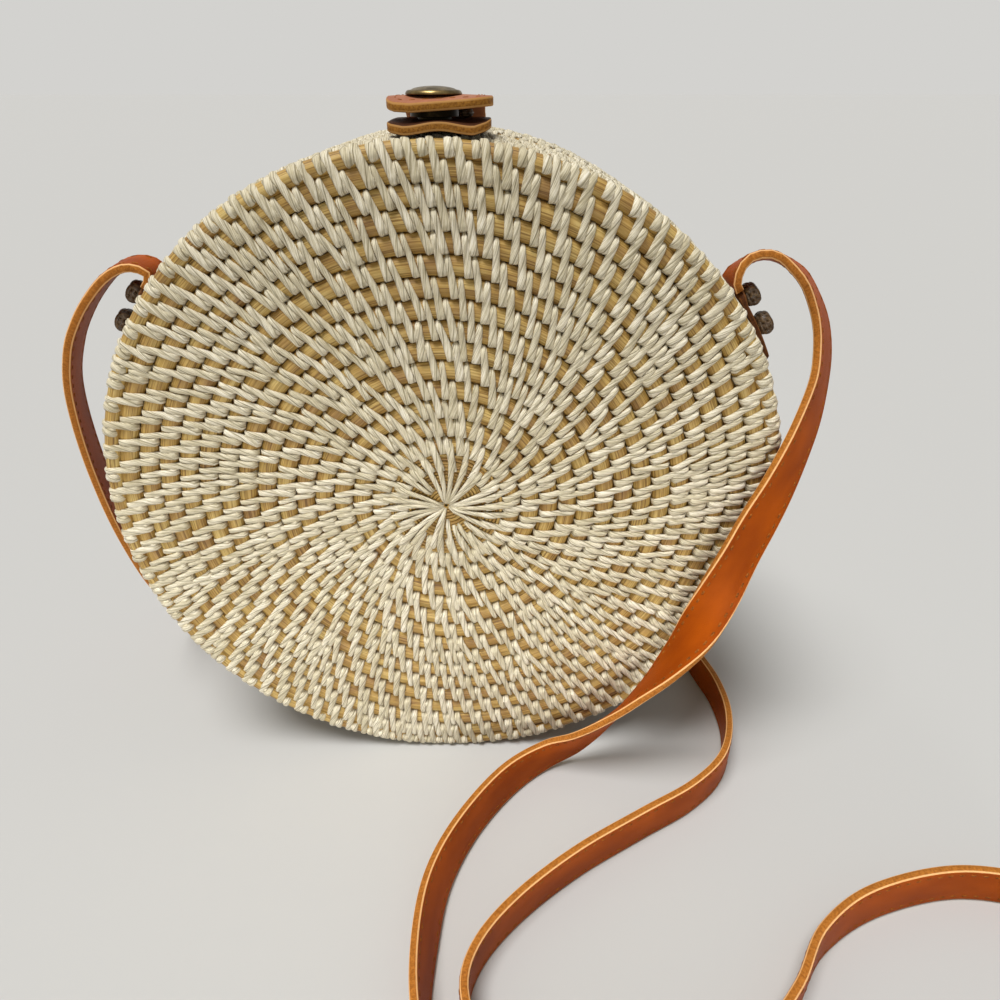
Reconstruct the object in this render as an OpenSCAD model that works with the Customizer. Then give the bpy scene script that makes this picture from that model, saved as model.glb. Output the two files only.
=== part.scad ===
// Round shoulder bag of coiled rush. Two coiled half shells are tied together at the foot, and a
// leather flap with a press stud holds them shut at the crown. A long leather strap is knotted to the
// front shell. The bag stands on its curved side: X runs to the right, Y to the back and Z up.

/* [Shells] */
// Diameter of a coiled shell over its rim
bag_d = 200; // [170:1:260]
// Depth of one shell, from the face to the seam
shell_depth = 40; // [34:0.5:60]
// Thickness of the coiled rows
coil_t = 5.2; // [4.4:0.1:7]
// Rows coiled on a face, rim row included
face_rows = 18; // [12:1:24]
// Rows coiled on a wall, rim row left out
wall_rows = 6; // [4:1:9]
// Depth of the groove between two rows of a face
groove_d = 1.4; // [0.6:0.1:1.8]
// Depth of the groove between two rows of a wall
wall_groove_d = 0.9; // [0.6:0.1:1.1]
// Gap between the two shells at the seam
seam_gap = 0.3; // [0.2:0.1:1]
// How far the foot is pressed flat
foot_flat = 1.2; // [0.8:0.1:2]

/* [Wraps] */
// Thickness of the cord wraps on a face
wrap_t = 1; // [0.6:0.1:1.4]
// Width of a cord wrap
wrap_w = 2.4; // [1.6:0.1:2.8]
// Lean of the wraps from the radius
wrap_lean = 14; // [0:1:25]
// Widest spacing of the wraps along a row
wrap_pitch = 7.2; // [5:0.2:9]
// Wraps in an inner tier
inner_wraps = 36; // [24:2:40]

/* [Lining] */
// Thickness of the lining cloth
cloth_t = 0.8; // [0.5:0.1:1.5]
// Distance from the seam to the hem of the lining
hem_back = 8; // [6:0.5:12]
// Depth of the folded side gusset
gusset_depth = 24; // [12:1:30]

/* [Hinge ties] */
// Thickness of the tie cord
tie_d = 2; // [1.2:0.1:2.6]
// Distance from the seam to the tie holes
tie_inset = 4.6; // [3.6:0.1:6]

/* [Strap] */
// Width of the shoulder strap
strap_w = 13; // [10:0.5:16]
// Thickness of the shoulder strap
strap_t = 2.6; // [2:0.1:3.2]
// Distance from the seam to the middle of the right strap end
strap_inset = 25; // [20:0.5:28]
// Distance from the seam to the middle of the left strap end
left_strap_inset = 20; // [20:0.5:28]
// Diameter of the woven knots
knot_d = 6.6; // [5:0.2:8]
// Height of the woven knots
knot_h = 4.4; // [3:0.2:7]
// Diameter of the stem under a knot
stem_d = 2.2; // [1.4:0.1:3]

/* [Closure] */
// Width of the closure flap
flap_w = 26; // [20:0.5:34]
// Thickness of the closure flap
flap_t = 2.2; // [1.6:0.1:3]
// Width of the tab under the flap
tab_w = 25; // [18:0.5:30]
// Thickness of the tab
tab_t = 2.1; // [1.6:0.1:3]
// Space between tab and flap that the snap fills
snap_space = 2.9; // [2.6:0.1:4]
// Distance from the seam to the snap
snap_inset = 25; // [20:0.5:28]
// Diameter of the snap cap
cap_d = 14; // [11:0.5:17]
// Height of the snap cap's dome
cap_h = 1.8; // [1.4:0.1:3]

/* [Hidden] */
$fn = 96;
bag_r = bag_d / 2;
axis_z = bag_r - foot_flat;
crown_z = axis_z + bag_r;
rim_w = coil_t;
row_w = (bag_r - rim_w) / (face_rows - 1);
// Share of the rim row's width that its outer corner is rounded by
rim_round_share = 0.45;
rim_round = rim_round_share * rim_w;
// Clearance between pieces that lie against each other
fit = 0.1;
wall_row_w = (shell_depth - rim_w - fit - seam_gap / 2) / wall_rows;
// Straight steps in the round crest of a row
row_steps = 6;
cut = 400;

// Each tier of wraps bridges two rows. Its wraps keep this far apart, and their crests are narrower
tiers = floor((face_rows - 2) / 2);
wrap_gap = 0.5;
wrap_crest_share = 0.5;
// Turn from one tier to the next, which lays the wraps in spiral arms
tier_turn = 8;

wall_in_r = bag_r - coil_t;
lining_r = wall_in_r - fit;
face_in = shell_depth - coil_t;

// Angles here are measured from the crown, to either side
gusset_from = 80;
gusset_to = 148;
tie_angles = [150, 162];
tie_hole_d = tie_d + 2 * fit;

strap_r = bag_r + fit;
strap_top_angle = 53;
strap_end_angle = 65.5;
knot_angles = [55.4, 60.6];
stem_hole_d = stem_d + 2 * fit;
knot_round = 1.6;
knot_seat = strap_t + fit;

// Heights above the crown
leather_lift = 0.5;
tab_z = crown_z + leather_lift;
flap_low_z = crown_z + leather_lift;
flap_z = tab_z + tab_t + snap_space;
flap_back_margin = 4;
flap_back_y = shell_depth - flap_back_margin;
flap_front_margin = 6;
flap_front_y = -(shell_depth - flap_front_margin);
flap_hinge_y = 6;
flap_ramp_y = -11;
flap_gap = 0.3;
flap_x = 1.6;
flap_round = 6;
tab_round = 4;
tab_front_margin = 2.5;
tab_front_y = -(shell_depth - tab_front_margin);
tab_back_y = -9;
tab_knot_y = -13;
tab_knot_x = 5.2;
flap_knot_margin = 7;
flap_knot_step = 12;
flap_knot_ys = [flap_back_y - flap_knot_margin - flap_knot_step, flap_back_y - flap_knot_margin];
small_knot_d = 5.6;
small_knot_h = 2.4;
TAB_KNOTS = [for (side = [-1, 1]) [flap_x + side * tab_knot_x, tab_knot_y]];
FLAP_KNOTS = [for (y = flap_knot_ys, side = [-1, 1]) [flap_x + side * tab_knot_x, y]];

cap_edge_h = 1.1;
cap_stem_d = 4;
socket_d = 12;
cavity_d = 7.8;
socket_plate = 0.4;
socket_low = 0.6;
stud_base_d = 8.4;
stud_base_t = 0.4;
stud_d = 4.4;
stud_neck_d = 3.2;
stud_h = 1.5;
post_d = 9.6;
post_t = 0.5;
post_stem_d = 3.6;

// Strap route by hand: x, y, z of its middle, then the way from its front edge to its back edge.
// It leaves the right knot, falls across the face, turns twice on the table and passes behind.
ROUTE = [
    [80.8, -25, 160.1, 0, 1, 0], [79.9, -25, 161.3, 0, 1, 0], [80.6, -25, 164, 0.1, 1, -0.1],
    [83.2, -25, 167, 0.3, 0.95, -0.2], [88, -25, 168.4, 0.4, 0.9, -0.2], [93, -25, 167.2, 0.45, 0.9, -0.2],
    [98, -26, 163.8, 0.5, 0.85, -0.2], [102, -26, 159, 0.5, 0.85, -0.2], [106, -27, 151, 0.55, 0.8, -0.2],
    [107.5, -29, 143, 0.6, 0.75, -0.3], [107, -32, 135, 0.6, 0.7, -0.35], [104.5, -36, 126, 0.7, 0.6, -0.4],
    [101, -40, 118, 0.75, 0.5, -0.4], [96, -44, 107, 0.85, 0.35, -0.4], [91, -47, 97, 0.95, 0.2, -0.3],
    [86, -49, 85, 0.95, 0.1, -0.2], [80.5, -50.5, 70, 0.9, -0.3, 0.1], [75, -51.5, 57.5, 0.62, -0.6, 0.45],
    [68, -52, 46, 0.38, -0.7, 0.62], [61, -52, 36, 0.12, -0.72, 0.69], [53, -51, 25, -0.1, -0.66, 0.74],
    [42.5, -50, 13.5, -0.15, -0.4, 0.9], [31, -51, 7.4, -0.15, -0.1, 1], [18, -61, 6.8, -0.25, 0, 1],
    [6, -77, 6.8, -0.35, -0.1, 1], [-2, -94, 6.8, -0.4, -0.1, 1], [-5, -111, 6.8, -0.4, -0.1, 1],
    [-5, -132, 6.8, -0.2, 0, 1], [0, -150, 6.8, 0, 0, 1], [18, -164, 6.8, 0, 0, 1], [52, -171, 6.8, 0, 0, 1],
    [96, -171, 6.8, 0, 0, 1], [138, -165, 6.8, 0, 0, 1], [168, -149, 6.8, 0, 0, 1], [180, -125, 6.8, 0, 0, 1],
    [173, -106, 6.8, -0.1, 0, 1], [150, -99, 6.8, -0.2, 0, 1], [122, -104, 6.8, -0.25, 0, 1],
    [102, -115, 6.8, -0.1, 0, 1], [89, -130, 6.8, 0, 0, 1], [74, -142, 6.8, 0, 0, 1],
    [52, -149, 6.8, 0, 0, 1], [28, -149, 6.8, 0, 0, 1], [12, -142, 6.8, 0, 0, 1], [6, -130, 6.8, 0, 0, 1],
    [9, -118, 6.8, 0, 0, 1], [20, -105, 6.8, 0, 0, 1], [38, -91, 6.8, 0, 0, 1], [59, -78.5, 6.8, 0, 0, 1],
    [78, -67.5, 6.8, 0, 0, 1], [91, -55, 6.8, 0, 0, 1], [97.5, -38, 6.8, 0, 0, 1], [98, -20, 6.8, 0, 0, 1],
    [94, 0, 6.8, 0, 0, 1], [92, 26, 6.8, 0, 0, 1], [84, 52, 6.8, 0, 0, 1], [60, 72, 6.8, 0, 0, 1],
    [16, 80, 6.8, 0, 0, 1], [-34, 80, 6.8, 0, 0, 1], [-78, 72, 6.8, 0, 0, 1], [-104, 54, 8.2, 0, 0, 1],
    [-115, 30, 18, 0.3, 0.3, 0.9], [-118, 12, 40, -0.1, 0.75, 0.65], [-119, 0, 70, -0.2, 1, 0.3],
    [-118, -8, 100, -0.2, 1, 0.2], [-114, -15, 126, -0.2, 1, 0.1], [-108, -19, 142, -0.15, 1, 0],
    [-101.5, -20.5, 152.5, -0.12, 1, 0], [-95, -20.5, 160, -0.12, 1, 0], [-90, -20.3, 164, -0.12, 1, 0],
    [-85.6, -20, 165.7, -0.12, 1, 0], [-81.8, -20, 165.4, -0.1, 1, 0.02], [-79.4, -20, 163.9, -0.05, 1, 0],
    [-79.2, -20, 162.4, 0, 1, 0], [-79.9, -20, 161.3, 0, 1, 0], [-80.8, -20, 160.1, 0, 1, 0]
];
// Corner cut of the strap's section
strap_bevel = 0.6;

// Distance from the seam to the middle of a strap end
function end_inset(side) = side > 0 ? strap_inset : left_strap_inset;

// Outline of one coiled row as [way, height] points on an arc, from its first groove to its next
function row_points(from, width, top, groove) =
    let (round_r = (pow(width / 2, 2) + pow(groove, 2)) / (2 * groove))
    [for (k = [0 : row_steps - 1]) let (x = (k / row_steps - 1 / 2) * width)
        [from + width / 2 + x, top - round_r + sqrt(pow(round_r, 2) - pow(x, 2))]];

// Middle radius of a tier of wraps, and the number of wraps that it has room for
function tier_r(j) = (2 * j + 2) * row_w;

function tier_wraps(j) = min(max(inner_wraps, round(2 * PI * tier_r(j) / wrap_pitch)),
    floor(2 * PI * (tier_r(j) - row_w) / (wrap_w + wrap_gap)));

function unit(v) = v / norm(v);

// Eight corners of the strap's section, across its width and its thickness
function strap_section(w, t, b) = [
    [-w / 2 + b, -t / 2], [w / 2 - b, -t / 2], [w / 2, -t / 2 + b], [w / 2, t / 2 - b],
    [w / 2 - b, t / 2], [-w / 2 + b, t / 2], [-w / 2, t / 2 - b], [-w / 2, -t / 2 + b]
];

function place(i) = [ROUTE[i][0], ROUTE[i][1], ROUTE[i][2]];

function way(i) = unit(place(min(i + 1, len(ROUTE) - 1)) - place(max(i - 1, 0)));

function across(i) = let (a = [ROUTE[i][3], ROUTE[i][4], ROUTE[i][5]], t = way(i)) unit(a - (a * t) * t);

// Turns a shell's turned solid so that its height points to the front
module to_front() {
    translate([0, 0, axis_z]) rotate([90, 0, 0]) children();
}

// Mirrors a front piece to the back
module to_back() {
    mirror([0, 1, 0]) children();
}

// What lies under the table plane is pressed flat
module pressed() {
    difference() {
        children();
        translate([-cut / 2, -cut / 2, -cut]) cube([cut, cut, cut]);
    }
}

// Places its children on the wall at an angle from the crown: their Z points outwards
module on_wall(angle, y, radius) {
    translate([0, y, axis_z]) rotate([0, angle, 0]) translate([0, 0, radius]) children();
}

// Face: the rows coiled round the middle, which carry the wraps
module coiled_face() {
    face_r = bag_r - rim_w - fit;
    crest = shell_depth - wrap_t - fit;
    points = [for (i = [0 : face_rows - 2]) each row_points(i * row_w, row_w, crest, groove_d)];
    to_front() rotate_extrude() polygon(concat(
        [[0, face_in]], points, [[face_r, crest - groove_d], [face_r, face_in]]));
}

// Wraps of a face: flat cords that each bind two rows, in tiers that turn like spiral arms
module face_wraps() {
    length = 2 * row_w - wrap_gap;
    crest = wrap_crest_share * wrap_w / 2;
    to_front() for (j = [0 : tiers - 1], i = [0 : tier_wraps(j) - 1])
        rotate([0, 0, j * tier_turn + i * 360 / tier_wraps(j)])
            translate([0, tier_r(j) + length / 2, shell_depth - wrap_t]) rotate([0, 0, wrap_lean])
                rotate([90, 0, 0]) linear_extrude(length)
                    polygon([[-wrap_w / 2, 0], [wrap_w / 2, 0], [crest, wrap_t], [-crest, wrap_t]]);
}

// Wall: the rows that stack up from the seam to the rim
module coiled_wall() {
    low = seam_gap / 2;
    rows = [for (i = [0 : wall_rows - 1])
        for (p = row_points(low + i * wall_row_w, wall_row_w, bag_r, wall_groove_d)) [p[1], p[0]]];
    top = low + wall_rows * wall_row_w;
    pressed() difference() {
        to_front() rotate_extrude() polygon(concat(
            [[wall_in_r, low]], rows, [[bag_r - wall_groove_d, top], [wall_in_r, top]]));
        tie_holes();
        children();
    }
}

// Rim row that joins face and wall, with its rounded outer corner
module coiled_rim() {
    low = shell_depth - rim_w;
    pressed() to_front() rotate_extrude() union() {
        translate([bag_r - rim_w, low]) square([rim_w, rim_w - rim_round]);
        translate([bag_r - rim_w, low]) square([rim_w - rim_round, rim_w]);
        translate([bag_r - rim_round, shell_depth - rim_round]) circle(rim_round);
    }
}

// Lining: a cloth disc and a cloth band, hemmed short of the seam
module lining() {
    disc_h = face_in - fit;
    to_front() rotate_extrude() polygon([
        [0, disc_h], [lining_r, disc_h], [lining_r, hem_back], [lining_r - cloth_t, hem_back],
        [lining_r - cloth_t, disc_h - cloth_t], [0, disc_h - cloth_t]
    ]);
}

// Side gusset: one pleat of cloth that joins the two linings and folds inwards
module gusset(side) {
    reach = hem_back - fit;
    tip = lining_r - gusset_depth;
    turn = side > 0 ? 90 - gusset_to : 90 + gusset_from;
    slope = atan(reach / gusset_depth);
    edge = reach - cloth_t / cos(slope);
    to_front() rotate([0, 0, turn]) rotate_extrude(angle = gusset_to - gusset_from) polygon([
        [lining_r, -reach], [tip, 0], [lining_r, reach], [lining_r, edge],
        [tip + cloth_t / sin(slope), 0], [lining_r, -edge]
    ]);
}

module each_tie() {
    for (side = [-1, 1], a = tie_angles) on_wall(side * a, 0, 0) children();
}

module tie_holes() {
    each_tie() for (y = [-tie_inset, tie_inset])
        translate([0, y, wall_in_r - coil_t]) cylinder(h = 3 * coil_t, d = tie_hole_d);
}

// Ties: closed cord loops through both walls that let the shells swing about the foot
module hinge_ties() {
    out_r = bag_r + tie_d / 2 + fit;
    in_r = wall_in_r - tie_d / 2 - fit;
    color("peru") each_tie() {
        for (y = [-tie_inset, tie_inset]) {
            translate([0, y, in_r]) cylinder(h = out_r - in_r, d = tie_d);
            for (r = [in_r, out_r]) translate([0, y, r]) sphere(d = tie_d);
        }
        for (r = [in_r, out_r])
            translate([0, tie_inset, r]) rotate([90, 0, 0]) cylinder(h = 2 * tie_inset, d = tie_d);
    }
}

// Woven knot: a button with a rounded edge on a stem that points inwards
module knot(diameter, height, stem) {
    round_r = min(knot_round, height / 2 - fit);
    rotate_extrude() union() {
        square([diameter / 2 - round_r, height]);
        translate([0, round_r]) square([diameter / 2, height - 2 * round_r]);
        for (h = [round_r, height - round_r])
            translate([diameter / 2 - round_r, h]) circle(round_r);
    }
    translate([0, 0, -stem]) cylinder(h = stem + round_r, d = stem_d);
}

// Bores for the stems of the strap knots, through leather and wall
module strap_bores() {
    for (side = [-1, 1], a = knot_angles) on_wall(side * a, -end_inset(side), wall_in_r - coil_t)
        cylinder(h = 3 * coil_t + strap_t, d = stem_hole_d);
}

// Bores for the stems of the small knots that hold the closure's leather
module closure_bores(places) {
    for (p = places) translate([p[0], p[1], crown_z - 3 * coil_t])
        cylinder(h = 4 * coil_t, d = stem_hole_d);
}

module front_face() {
    color("tan") coiled_face();
}

module front_wraps() {
    color("ivory") face_wraps();
}

module front_wall() {
    color("wheat") coiled_wall() {
        strap_bores();
        closure_bores(TAB_KNOTS);
    }
}

module front_rim() {
    color("antiquewhite") coiled_rim();
}

module front_lining() {
    color("beige") difference() {
        lining();
        strap_bores();
        closure_bores(TAB_KNOTS);
    }
}

module back_face() {
    color("tan") to_back() coiled_face();
}

module back_wraps() {
    color("ivory") to_back() face_wraps();
}

module back_wall() {
    color("wheat") to_back() coiled_wall() mirror([0, 1, 0]) closure_bores(FLAP_KNOTS);
}

module back_rim() {
    color("antiquewhite") to_back() coiled_rim();
}

module back_lining() {
    color("beige") difference() {
        to_back() lining();
        closure_bores(FLAP_KNOTS);
    }
}

module gusset_right() {
    color("beige") gusset(1);
}

module gusset_left() {
    color("beige") gusset(-1);
}

// Strap end: the last stretch of the strap, bent to the wall under its two knots
module strap_end(side) {
    sweep = strap_end_angle - strap_top_angle;
    start = side > 0 ? 90 - strap_end_angle : 90 + strap_top_angle;
    color("sienna") difference() {
        to_front() rotate([0, 0, start]) rotate_extrude(angle = sweep)
            translate([strap_r, end_inset(side) - strap_w / 2]) square([strap_t, strap_w]);
        strap_bores();
    }
}

module strap_end_right() {
    strap_end(1);
}

module strap_end_left() {
    strap_end(-1);
}

module strap_knots(side) {
    color("saddlebrown") for (a = knot_angles) on_wall(side * a, -end_inset(side), bag_r + knot_seat + fit)
        knot(knot_d, knot_h, coil_t + knot_seat);
}

module strap_knots_right() {
    strap_knots(1);
}

module strap_knots_left() {
    strap_knots(-1);
}

// Free length of the strap, swept through its route
module shoulder_strap() {
    section = strap_section(strap_w, strap_t, strap_bevel);
    sides = len(section);
    rings = len(ROUTE);
    points = [for (i = [0 : rings - 1], s = section)
        place(i) + s[0] * across(i) + s[1] * cross(way(i), across(i))];
    walls = [for (i = [0 : rings - 2], k = [0 : sides - 1]) let (n = (k + 1) % sides, a = i * sides,
        b = a + sides) each [[a + k, b + n, a + n], [a + k, b + k, b + n]]];
    ends = [for (k = [1 : sides - 2]) each [[0, k, k + 1],
        [(rings - 1) * sides, (rings - 1) * sides + k + 1, (rings - 1) * sides + k]]];
    color("chocolate") polyhedron(points, concat(walls, ends));
}

// Plan of a leather piece with two rounded front corners, pulled up to the height of its blank
module blank(width, front_y, back_y, corner, low, high) {
    translate([flap_x, 0, low]) linear_extrude(high - low) union() {
        translate([-width / 2, front_y + corner]) square([width, back_y - front_y - corner]);
        translate([-width / 2 + corner, front_y]) square([width - 2 * corner, back_y - front_y]);
        for (x = [-width / 2 + corner, width / 2 - corner])
            translate([x, front_y + corner]) circle(corner);
    }
}

// Tab: the leather under the flap, which carries the stud
module front_tab() {
    color("saddlebrown") difference() {
        blank(tab_w, tab_front_y, tab_back_y, tab_round, tab_z, tab_z + tab_t);
        closure_bores(TAB_KNOTS);
        translate([0, -snap_inset, tab_z - tab_t]) cylinder(h = 3 * tab_t, d = post_stem_d + 2 * fit);
        translate([0, -snap_inset, tab_z - tab_t]) cylinder(h = tab_t + post_t + fit, d = post_d + 2 * fit);
    }
}

module tab_knots() {
    color("saddlebrown") for (p = TAB_KNOTS) translate([p[0], p[1], tab_z + tab_t + fit])
        knot(small_knot_d, small_knot_h - 2 * fit, coil_t + tab_t);
}

// Root of the flap: the leather knotted to the back shell
module flap_root() {
    color("peru") difference() {
        mirror([0, 1, 0]) blank(flap_w, -flap_back_y, -(flap_hinge_y + flap_gap), flap_round,
            flap_low_z, flap_low_z + flap_t);
        closure_bores(FLAP_KNOTS);
    }
}

module flap_knots() {
    color("saddlebrown") for (p = FLAP_KNOTS) translate([p[0], p[1], flap_low_z + flap_t + fit])
        knot(small_knot_d, small_knot_h, coil_t + flap_t);
}

// Flap: it rises from the back shell over the seam and lies level over the snap
module closure_flap() {
    color("peru") difference() {
        intersection() {
            blank(flap_w, flap_front_y, flap_hinge_y, flap_round, crown_z, flap_z + 2 * flap_t);
            translate([cut / 2, 0, 0]) rotate([90, 0, -90]) linear_extrude(cut) polygon([
                [-flap_hinge_y, flap_low_z], [-flap_hinge_y, flap_low_z + flap_t],
                [-flap_ramp_y, flap_z + flap_t], [-flap_front_y, flap_z + flap_t],
                [-flap_front_y, flap_z], [-flap_ramp_y, flap_z]
            ]);
        }
        translate([0, -snap_inset, flap_z - flap_t]) cylinder(h = 3 * flap_t, d = cap_stem_d + 2 * fit);
    }
}

// Cap: a domed button on a stem through the flap
module snap_cap() {
    sphere_r = (pow(cap_d / 2, 2) + pow(cap_h - cap_edge_h, 2)) / (2 * (cap_h - cap_edge_h));
    color("darkgoldenrod") translate([0, -snap_inset, flap_z + flap_t]) {
        cylinder(h = cap_edge_h, d = cap_d);
        intersection() {
            translate([0, 0, cap_h - sphere_r]) sphere(sphere_r);
            cylinder(h = cap_h, d = cap_d);
        }
        translate([0, 0, -flap_t]) cylinder(h = flap_t, d = cap_stem_d);
    }
}

// Socket: an open ring under the flap that takes the stud
module snap_socket() {
    height = snap_space - socket_low;
    color("darkgoldenrod") translate([0, -snap_inset, flap_z - height]) difference() {
        cylinder(h = height, d = socket_d);
        translate([0, 0, -fit]) cylinder(h = height - socket_plate + fit, d = cavity_d);
    }
}

// Stud: a short neck and a wider head on a flat foot
module snap_stud() {
    neck_h = stud_h - stud_base_t;
    color("darkgoldenrod") translate([0, -snap_inset, tab_z + tab_t]) {
        cylinder(h = stud_base_t, d = stud_base_d);
        cylinder(h = stud_base_t + neck_h / 2, d = stud_neck_d);
        translate([0, 0, stud_base_t + neck_h / 2]) cylinder(h = neck_h / 2, d = stud_d);
    }
}

// Post: the eyelet under the tab that the stud is riveted to
module snap_post() {
    color("darkgoldenrod") translate([0, -snap_inset, tab_z]) {
        cylinder(h = post_t, d = post_d);
        cylinder(h = tab_t, d = post_stem_d);
    }
}

front_face();
front_wraps();
front_wall();
front_rim();
front_lining();
back_face();
back_wraps();
back_wall();
back_rim();
back_lining();
gusset_right();
gusset_left();
hinge_ties();
strap_end_right();
strap_end_left();
strap_knots_right();
strap_knots_left();
shoulder_strap();
front_tab();
tab_knots();
flap_root();
flap_knots();
closure_flap();
snap_cap();
snap_socket();
snap_stud();
snap_post();
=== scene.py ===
import math

import bmesh
import bpy
import numpy as np
from mathutils import Matrix, Vector


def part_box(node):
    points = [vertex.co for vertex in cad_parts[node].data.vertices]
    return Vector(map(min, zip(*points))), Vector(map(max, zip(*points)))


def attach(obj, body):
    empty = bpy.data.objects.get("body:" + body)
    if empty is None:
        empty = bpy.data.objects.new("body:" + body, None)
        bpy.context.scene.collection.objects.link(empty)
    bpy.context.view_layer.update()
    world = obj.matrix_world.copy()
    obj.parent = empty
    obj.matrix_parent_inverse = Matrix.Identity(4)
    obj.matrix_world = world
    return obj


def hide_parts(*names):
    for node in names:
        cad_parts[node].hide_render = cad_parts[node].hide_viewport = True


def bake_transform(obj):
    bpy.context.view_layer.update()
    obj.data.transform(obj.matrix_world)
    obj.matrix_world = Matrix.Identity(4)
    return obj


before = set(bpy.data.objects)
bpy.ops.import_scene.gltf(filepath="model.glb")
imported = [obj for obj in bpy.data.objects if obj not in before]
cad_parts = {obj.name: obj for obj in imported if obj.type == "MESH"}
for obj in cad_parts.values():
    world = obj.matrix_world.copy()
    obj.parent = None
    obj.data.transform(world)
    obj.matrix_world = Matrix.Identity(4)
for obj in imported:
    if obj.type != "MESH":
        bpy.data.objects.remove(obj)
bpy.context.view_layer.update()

MM = 0.001
# Points closer than this are merged
MERGE = 0.01 * MM

# The bag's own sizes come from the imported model: the rim ring gives the radius, the axis and the depth
RIM_LOW, RIM_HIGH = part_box("front_rim")
BAG_R = (RIM_HIGH[0] - RIM_LOW[0]) / 2
AXIS_Z = RIM_HIGH[2] - BAG_R
DEPTH = -RIM_LOW[1]
RIM_INNER = -RIM_HIGH[1]
COIL_T = DEPTH - RIM_INNER
WALL_LOW = -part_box("front_wall")[1][1]

FACE_ROWS = 17
WALL_ROWS = 6
ROW_W = (BAG_R - COIL_T) / FACE_ROWS
WALL_ROW_W = (RIM_INNER - WALL_LOW) / WALL_ROWS
# The wraps lie on the coil, which is that much smaller than the shell
WRAP_LIFT = 1.0 * MM
CREST_R = BAG_R - WRAP_LIFT
CREST_D = DEPTH - WRAP_LIFT
CORNER = 2.4 * MM
QUARTER = CORNER * math.pi / 2
FACE_FLAT = CREST_R - CORNER
SEAM_D = WALL_LOW + WRAP_LIFT + 0.1 * MM
WALL_FLAT = CREST_D - CORNER - SEAM_D - CORNER
SEAM_TURN = 1.5 * MM

# Rows along the skin, counted from the face's middle over the rim and down the wall to the seam
ROW_EDGES = [k * ROW_W for k in range(FACE_ROWS + 1)]
RIM_END = FACE_FLAT + QUARTER + (CREST_D - CORNER - RIM_INNER)
ROW_EDGES += [RIM_END + k * WALL_ROW_W for k in range(WALL_ROWS)]
ROW_EDGES.append(FACE_FLAT + QUARTER + WALL_FLAT + QUARTER + SEAM_TURN)
RIM_ROW = FACE_ROWS
SPOKE_ROW = 2
SPOKES = 26
PITCH = 6.15 * MM
# Each shell has its side along Y, its body and its name, and each strap end and gusset its side along X
SHELLS = ((-1, "root", "front"), (1, "back_shell", "back"))
SIDES = ((1, "right"), (-1, "left"))
# A strand is narrow at its outer end, where it comes out of the groove, and wide where it goes down again.
# Both are a little wider on the rim. No two strands have quite the same width and height
STRAND_T = 1.0 * MM
STRAND_NARROW, RIM_NARROW = 1.65 * MM, 0.5 * MM
STRAND_WIDE, RIM_WIDE = 2.4 * MM, 0.25 * MM
WIDTH_STRAY, HEIGHT_STRAY = 0.07, 0.08 * MM
# A strand's foot lies this far beside the strand that it meets, or this share of the pitch where they crowd
BESIDE = 2.05 * MM
BESIDE_SHARE = 0.40
# Heads are spread so many times, each time by this share, and then stray
SPREADS = 3
SPREAD_SHARE = 0.25
HEAD_STRAY = 0.18 * MM
# A strand's ply comes round every 6.5 mm, and turns by this share of a ply from its middle to its edge
PLY = 6.5
PLY_SLANT = 0.5

LINING_T = 0.5 * MM

STRAP_W = 13 * MM
STRAP_T = 2.6 * MM
STRAP_SECTION_SIDES = 28
ROUTE_STEP = 1.5 * MM
# The strap's two seams lie this far from its middle. A stitch has a length, a width and a height
SEAM_X = 4.6 * MM
STITCH = (2.5 * MM, 0.75 * MM, 0.5 * MM)
STITCH_PITCH = 3.4 * MM


def lying_flat(*places):
    """Route points of the strap flat on the table, from their x and y."""
    return [[x, y, 6.8, 0, 0, 1] for x, y in places]
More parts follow.
